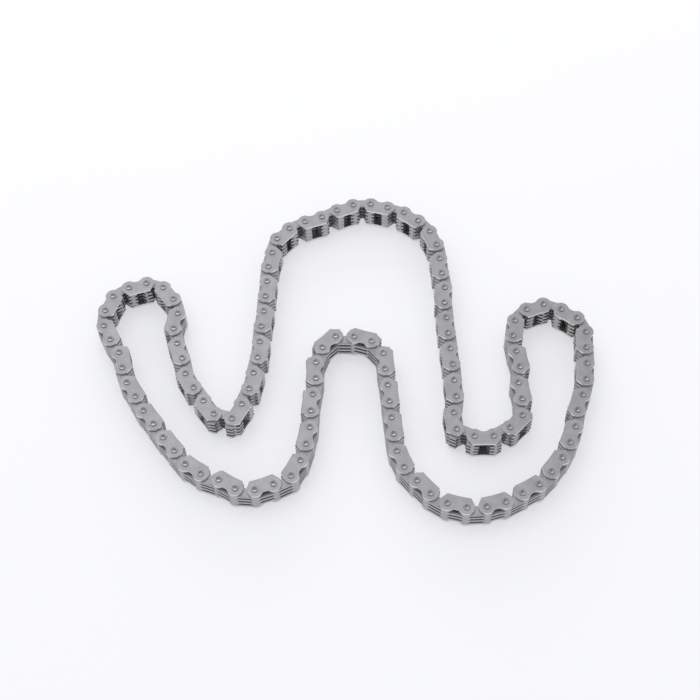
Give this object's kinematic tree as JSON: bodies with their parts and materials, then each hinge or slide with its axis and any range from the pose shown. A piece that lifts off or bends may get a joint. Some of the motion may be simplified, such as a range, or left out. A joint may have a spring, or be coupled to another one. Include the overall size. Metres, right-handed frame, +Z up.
{
  "type": "timing chain",
  "caption": "Silent timing chain with toothed plates, an endless pinned loop lying slack on its side, that drives camshaft sprockets from the crankshaft.",
  "frame": {"origin": "middle of the bounding box, on the plane of the lower pin ends that the chain rests on", "axes": "+X along the longest side of the loop as it lies, +Z up along the pins"},
  "size_m": [0.1714, 0.1292, 0.0092],
  "materials": {
    "steel": "satin"
  },
  "bodies": {
    "link_01": {"link_01": "steel"},
    "link_02": {"link_02": "steel"},
    "link_03": {"link_03": "steel"},
    "link_04": {"link_04": "steel"},
    "link_05": {"link_05": "steel"},
    "link_06": {"link_06": "steel"},
    "link_07": {"link_07": "steel"},
    "link_08": {"link_08": "steel"},
    "link_09": {"link_09": "steel"},
    "link_10": {"link_10": "steel"},
    "link_11": {"link_11": "steel"},
    "link_12": {"link_12": "steel"},
    "link_13": {"link_13": "steel"},
    "link_14": {"link_14": "steel"},
    "link_15": {"link_15": "steel"},
    "link_16": {"link_16": "steel"},
    "link_17": {"link_17": "steel"},
    "link_18": {"link_18": "steel"},
    "link_19": {"link_19": "steel"},
    "link_20": {"link_20": "steel"},
    "link_21": {"link_21": "steel"},
    "link_22": {"link_22": "steel"},
    "link_23": {"link_23": "steel"},
    "link_24": {"link_24": "steel"},
    "link_25": {"link_25": "steel"},
    "link_26": {"link_26": "steel"},
    "link_27": {"link_27": "steel"},
    "link_28": {"link_28": "steel"},
    "link_29": {"link_29": "steel"},
    "link_30": {"link_30": "steel"},
    "link_31": {"link_31": "steel"},
    "link_32": {"link_32": "steel"},
    "link_33": {"link_33": "steel"},
    "link_34": {"link_34": "steel"},
    "link_35": {"link_35": "steel"},
    "link_36": {"link_36": "steel"},
    "link_37": {"link_37": "steel"},
    "link_38": {"link_38": "steel"},
    "link_39": {"link_39": "steel"},
    "link_40": {"link_40": "steel"},
    "link_41": {"link_41": "steel"},
    "link_42": {"link_42": "steel"},
    "link_43": {"link_43": "steel"},
    "link_44": {"link_44": "steel"},
    "link_45": {"link_45": "steel"},
    "link_46": {"link_46": "steel"},
    "link_47": {"link_47": "steel"},
    "link_48": {"link_48": "steel"},
    "link_49": {"link_49": "steel"},
    "link_50": {"link_50": "steel"},
    "link_51": {"link_51": "steel"},
    "link_52": {"link_52": "steel"},
    "link_53": {"link_53": "steel"},
    "link_54": {"link_54": "steel"},
    "link_55": {"link_55": "steel"},
    "link_56": {"link_56": "steel"},
    "link_57": {"link_57": "steel"},
    "link_58": {"link_58": "steel"},
    "link_59": {"link_59": "steel"}
  },
  "joints": [
    {"name": "pivot_29", "type": "hinge", "parent": "link_29", "child": "link_28", "pos_m": [0.0824, -0.00274, 0.0046], "axis": [0, 0, 1], "range_deg": [-24, 24]},
    {"name": "pivot_30", "type": "hinge", "parent": "link_29", "child": "link_30", "pos_m": [0.08069, 0.00946, 0.0046], "axis": [0, 0, 1], "range_deg": [-4, 11]},
    {"name": "pivot_28", "type": "hinge", "parent": "link_28", "child": "link_27", "pos_m": [0.08108, -0.01536, 0.0046], "axis": [0, 0, 1], "range_deg": [-24, 24]},
    {"name": "pivot_31", "type": "hinge", "parent": "link_30", "child": "link_31", "pos_m": [0.06966, 0.01557, 0.0046], "axis": [0, 0, 1], "range_deg": [-11, 4]},
    {"name": "pivot_27", "type": "hinge", "parent": "link_27", "child": "link_26", "pos_m": [0.07684, -0.02732, 0.0046], "axis": [0, 0, 1], "range_deg": [-30, 30]},
    {"name": "pivot_32", "type": "hinge", "parent": "link_31", "child": "link_32", "pos_m": [0.05914, 0.00912, 0.0046], "axis": [0, 0, 1], "range_deg": [-30, 10]},
    {"name": "pivot_26", "type": "hinge", "parent": "link_26", "child": "link_25", "pos_m": [0.07304, -0.0394, 0.0046], "axis": [0, 0, 1], "range_deg": [-30, 30]},
    {"name": "pivot_33", "type": "hinge", "parent": "link_32", "child": "link_33", "pos_m": [0.05848, -0.00344, 0.0046], "axis": [0, 0, 1], "range_deg": [-10, 30]},
    {"name": "pivot_25", "type": "hinge", "parent": "link_25", "child": "link_24", "pos_m": [0.06595, -0.0499, 0.0046], "axis": [0, 0, 1], "range_deg": [-15, 15]},
    {"name": "pivot_34", "type": "hinge", "parent": "link_33", "child": "link_34", "pos_m": [0.05815, -0.01599, 0.0046], "axis": [0, 0, 1], "range_deg": [-15, 15]},
    {"name": "pivot_24", "type": "hinge", "parent": "link_24", "child": "link_23", "pos_m": [0.05585, -0.05737, 0.0046], "axis": [0, 0, 1], "range_deg": [-15, 15]},
    {"name": "pivot_35", "type": "hinge", "parent": "link_34", "child": "link_35", "pos_m": [0.05837, -0.02865, 0.0046], "axis": [0, 0, 1], "range_deg": [-30, 30]},
    {"name": "pivot_23", "type": "hinge", "parent": "link_23", "child": "link_22", "pos_m": [0.04403, -0.06179, 0.0046], "axis": [0, 0, 1], "range_deg": [-30, 30]},
    {"name": "pivot_36", "type": "hinge", "parent": "link_35", "child": "link_36", "pos_m": [0.04827, -0.03612, 0.0046], "axis": [0, 0, 1], "range_deg": [-15, 15]},
    {"name": "pivot_22", "type": "hinge", "parent": "link_22", "child": "link_21", "pos_m": [0.03158, -0.06015, 0.0046], "axis": [0, 0, 1], "range_deg": [-30, 30]},
    {"name": "pivot_37", "type": "hinge", "parent": "link_36", "child": "link_37", "pos_m": [0.03626, -0.03312, 0.0046], "axis": [0, 0, 1], "range_deg": [-30, 10]},
    {"name": "pivot_21", "type": "hinge", "parent": "link_21", "child": "link_20", "pos_m": [0.0223, -0.05165, 0.0046], "axis": [0, 0, 1], "range_deg": [-30, 30]},
    {"name": "pivot_38", "type": "hinge", "parent": "link_37", "child": "link_38", "pos_m": [0.03692, -0.02056, 0.0046], "axis": [0, 0, 1], "range_deg": [-10, 30]},
    {"name": "pivot_20", "type": "hinge", "parent": "link_20", "child": "link_19", "pos_m": [0.01622, -0.04068, 0.0046], "axis": [0, 0, 1], "range_deg": [-30, 30]},
    {"name": "pivot_39", "type": "hinge", "parent": "link_38", "child": "link_39", "pos_m": [0.03656, -0.00787, 0.0046], "axis": [0, 0, 1], "range_deg": [-30, 30]},
    {"name": "pivot_19", "type": "hinge", "parent": "link_19", "child": "link_18", "pos_m": [0.015, -0.02804, 0.0046], "axis": [0, 0, 1], "range_deg": [-30, 30]},
    {"name": "pivot_40", "type": "hinge", "parent": "link_39", "child": "link_40", "pos_m": [0.03578, 0.00481, 0.0046], "axis": [0, 0, 1], "range_deg": [-30, 30]},
    {"name": "pivot_18", "type": "hinge", "parent": "link_18", "child": "link_17", "pos_m": [0.01422, -0.01536, 0.0046], "axis": [0, 0, 1], "range_deg": [-30, 30]},
    {"name": "pivot_41", "type": "hinge", "parent": "link_40", "child": "link_41", "pos_m": [0.03534, 0.0175, 0.0046], "axis": [0, 0, 1], "range_deg": [-15, 15]},
    {"name": "pivot_17", "type": "hinge", "parent": "link_17", "child": "link_16", "pos_m": [0.01323, -0.00271, 0.0046], "axis": [0, 0, 1], "range_deg": [-2, 16]},
    {"name": "pivot_42", "type": "hinge", "parent": "link_41", "child": "link_42", "pos_m": [0.03512, 0.03015, 0.0046], "axis": [0, 0, 1], "range_deg": [-15, 15]},
    {"name": "pivot_16", "type": "hinge", "parent": "link_16", "child": "link_15", "pos_m": [0.0034, 0.00443, 0.0046], "axis": [0, 0, 1], "range_deg": [-16, 2]},
    {"name": "pivot_43", "type": "hinge", "parent": "link_42", "child": "link_43", "pos_m": [0.03401, 0.04279, 0.0046], "axis": [0, 0, 1], "range_deg": [-30, 30]},
    {"name": "pivot_15", "type": "hinge", "parent": "link_15", "child": "link_14", "pos_m": [-0.00751, 0.00035, 0.0046], "axis": [0, 0, 1], "range_deg": [-25, 14]},
    {"name": "pivot_44", "type": "hinge", "parent": "link_43", "child": "link_44", "pos_m": [0.02793, 0.05376, 0.0046], "axis": [0, 0, 1], "range_deg": [-30, 30]},
    {"name": "pivot_14", "type": "hinge", "parent": "link_14", "child": "link_13", "pos_m": [-0.00989, -0.01192, 0.0046], "axis": [0, 0, 1], "range_deg": [-14, 25]},
    {"name": "pivot_45", "type": "hinge", "parent": "link_44", "child": "link_45", "pos_m": [0.01708, 0.06015, 0.0046], "axis": [0, 0, 1], "range_deg": [-30, 30]},
    {"name": "pivot_13", "type": "hinge", "parent": "link_13", "child": "link_12", "pos_m": [-0.01166, -0.02449, 0.0046], "axis": [0, 0, 1], "range_deg": [-30, 30]},
    {"name": "pivot_46", "type": "hinge", "parent": "link_45", "child": "link_46", "pos_m": [0.00463, 0.06179, 0.0046], "axis": [0, 0, 1], "range_deg": [-30, 30]},
    {"name": "pivot_12", "type": "hinge", "parent": "link_12", "child": "link_11", "pos_m": [-0.01342, -0.03704, 0.0046], "axis": [0, 0, 1], "range_deg": [-30, 30]},
    {"name": "pivot_47", "type": "hinge", "parent": "link_46", "child": "link_47", "pos_m": [-0.00699, 0.05672, 0.0046], "axis": [0, 0, 1], "range_deg": [-19, 21]},
    {"name": "pivot_11", "type": "hinge", "parent": "link_11", "child": "link_10", "pos_m": [-0.01836, -0.04866, 0.0046], "axis": [0, 0, 1], "range_deg": [-19, 21]},
    {"name": "pivot_48", "type": "hinge", "parent": "link_47", "child": "link_48", "pos_m": [-0.01873, 0.05198, 0.0046], "axis": [0, 0, 1], "range_deg": [-21, 19]},
    {"name": "pivot_10", "type": "hinge", "parent": "link_10", "child": "link_09", "pos_m": [-0.0301, -0.05341, 0.0046], "axis": [0, 0, 1], "range_deg": [-21, 19]},
    {"name": "pivot_49", "type": "hinge", "parent": "link_48", "child": "link_49", "pos_m": [-0.02489, 0.0413, 0.0046], "axis": [0, 0, 1], "range_deg": [-30, 30]},
    {"name": "pivot_09", "type": "hinge", "parent": "link_09", "child": "link_08", "pos_m": [-0.0418, -0.04938, 0.0046], "axis": [0, 0, 1], "range_deg": [-4, 11]},
    {"name": "pivot_50", "type": "hinge", "parent": "link_49", "child": "link_50", "pos_m": [-0.02666, 0.02876, 0.0046], "axis": [0, 0, 1], "range_deg": [-30, 30]},
    {"name": "pivot_08", "type": "hinge", "parent": "link_08", "child": "link_07", "pos_m": [-0.05283, -0.04327, 0.0046], "axis": [0, 0, 1], "range_deg": [-11, 4]},
    {"name": "pivot_51", "type": "hinge", "parent": "link_50", "child": "link_51", "pos_m": [-0.02765, 0.0161, 0.0046], "axis": [0, 0, 1], "range_deg": [-24, 24]},
    {"name": "pivot_07", "type": "hinge", "parent": "link_07", "child": "link_06", "pos_m": [-0.06047, -0.03313, 0.0046], "axis": [0, 0, 1], "range_deg": [-30, 30]},
    {"name": "pivot_52", "type": "hinge", "parent": "link_51", "child": "link_52", "pos_m": [-0.02898, 0.00347, 0.0046], "axis": [0, 0, 1], "range_deg": [-24, 24]},
    {"name": "pivot_06", "type": "hinge", "parent": "link_06", "child": "link_05", "pos_m": [-0.06757, -0.0226, 0.0046], "axis": [0, 0, 1], "range_deg": [-30, 30]},
    {"name": "pivot_53", "type": "hinge", "parent": "link_52", "child": "link_53", "pos_m": [-0.03096, -0.00905, 0.0046], "axis": [0, 0, 1], "range_deg": [-30, 30]},
    {"name": "pivot_05", "type": "hinge", "parent": "link_05", "child": "link_04", "pos_m": [-0.07373, -0.01149, 0.0046], "axis": [0, 0, 1], "range_deg": [-30, 30]},
    {"name": "pivot_54", "type": "hinge", "parent": "link_53", "child": "link_54", "pos_m": [-0.03477, -0.02113, 0.0046], "axis": [0, 0, 1], "range_deg": [-30, 30]},
    {"name": "pivot_04", "type": "hinge", "parent": "link_04", "child": "link_03", "pos_m": [-0.07712, 0.00073, 0.0046], "axis": [0, 0, 1], "range_deg": [-30, 30]},
    {"name": "pivot_55", "type": "hinge", "parent": "link_54", "child": "link_55", "pos_m": [-0.04399, -0.02466, 0.0046], "axis": [0, 0, 1], "range_deg": [-30, 30]},
    {"name": "pivot_03", "type": "hinge", "parent": "link_03", "child": "link_02", "pos_m": [-0.08307, 0.01192, 0.0046], "axis": [0, 0, 1], "range_deg": [-25, 14]},
    {"name": "pivot_56", "type": "hinge", "parent": "link_55", "child": "link_56", "pos_m": [-0.05109, -0.01414, 0.0046], "axis": [0, 0, 1], "range_deg": [-30, 30]},
    {"name": "pivot_02", "type": "hinge", "parent": "link_02", "child": "link_01", "pos_m": [-0.08068, 0.0242, 0.0046], "axis": [0, 0, 1], "range_deg": [-14, 25]},
    {"name": "pivot_57", "type": "hinge", "parent": "link_56", "child": "link_57", "pos_m": [-0.05539, -0.00232, 0.0046], "axis": [0, 0, 1], "range_deg": [-30, 30]},
    {"name": "pivot_58", "type": "hinge", "parent": "link_57", "child": "link_58", "pos_m": [-0.05878, 0.00991, 0.0046], "axis": [0, 0, 1], "range_deg": [-30, 30]},
    {"name": "pivot_59", "type": "hinge", "parent": "link_58", "child": "link_59", "pos_m": [-0.05943, 0.02227, 0.0046], "axis": [0, 0, 1], "range_deg": [-2, 16]}
  ],
  "couplings": [
    {"joint": "pivot_02", "follows": "pivot_15", "ratio": -1},
    {"joint": "pivot_03", "follows": "pivot_15", "ratio": 1},
    {"joint": "pivot_05", "follows": "pivot_04", "ratio": -1},
    {"joint": "pivot_07", "follows": "pivot_06", "ratio": -1},
    {"joint": "pivot_08", "follows": "pivot_31", "ratio": 1},
    {"joint": "pivot_09", "follows": "pivot_31", "ratio": -1},
    {"joint": "pivot_10", "follows": "pivot_48", "ratio": 1},
    {"joint": "pivot_11", "follows": "pivot_48", "ratio": -1},
    {"joint": "pivot_13", "follows": "pivot_12", "ratio": -1},
    {"joint": "pivot_14", "follows": "pivot_15", "ratio": -1},
    {"joint": "pivot_16", "follows": "pivot_17", "ratio": -1},
    {"joint": "pivot_18", "follows": "pivot_40", "ratio": 1},
    {"joint": "pivot_19", "follows": "pivot_40", "ratio": -1},
    {"joint": "pivot_20", "follows": "pivot_21", "ratio": -1},
    {"joint": "pivot_23", "follows": "pivot_22", "ratio": -1},
    {"joint": "pivot_24", "follows": "pivot_25", "ratio": -1},
    {"joint": "pivot_27", "follows": "pivot_26", "ratio": -1},
    {"joint": "pivot_28", "follows": "pivot_29", "ratio": -1},
    {"joint": "pivot_30", "follows": "pivot_31", "ratio": -1},
    {"joint": "pivot_33", "follows": "pivot_32", "ratio": -1},
    {"joint": "pivot_34", "follows": "pivot_25", "ratio": -1},
    {"joint": "pivot_35", "follows": "pivot_25", "ratio": 2},
    {"joint": "pivot_36", "follows": "pivot_25", "ratio": -1},
    {"joint": "pivot_37", "follows": "pivot_32", "ratio": 1},
    {"joint": "pivot_38", "follows": "pivot_32", "ratio": -1},
    {"joint": "pivot_39", "follows": "pivot_40", "ratio": -1},
    {"joint": "pivot_41", "follows": "pivot_25", "ratio": -1},
    {"joint": "pivot_42", "follows": "pivot_25", "ratio": 1},
    {"joint": "pivot_43", "follows": "pivot_21", "ratio": 1},
    {"joint": "pivot_44", "follows": "pivot_21", "ratio": -1},
    {"joint": "pivot_45", "follows": "pivot_22", "ratio": -1},
    {"joint": "pivot_46", "follows": "pivot_22", "ratio": 1},
    {"joint": "pivot_47", "follows": "pivot_48", "ratio": -1},
    {"joint": "pivot_49", "follows": "pivot_12", "ratio": -1},
    {"joint": "pivot_50", "follows": "pivot_12", "ratio": 1},
    {"joint": "pivot_51", "follows": "pivot_29", "ratio": 1},
    {"joint": "pivot_52", "follows": "pivot_29", "ratio": -1},
    {"joint": "pivot_53", "follows": "pivot_26", "ratio": -1},
    {"joint": "pivot_54", "follows": "pivot_26", "ratio": 1},
    {"joint": "pivot_55", "follows": "pivot_06", "ratio": -1},
    {"joint": "pivot_56", "follows": "pivot_06", "ratio": 1},
    {"joint": "pivot_57", "follows": "pivot_04", "ratio": -1},
    {"joint": "pivot_58", "follows": "pivot_04", "ratio": 1},
    {"joint": "pivot_59", "follows": "pivot_17", "ratio": 1}
  ]
}
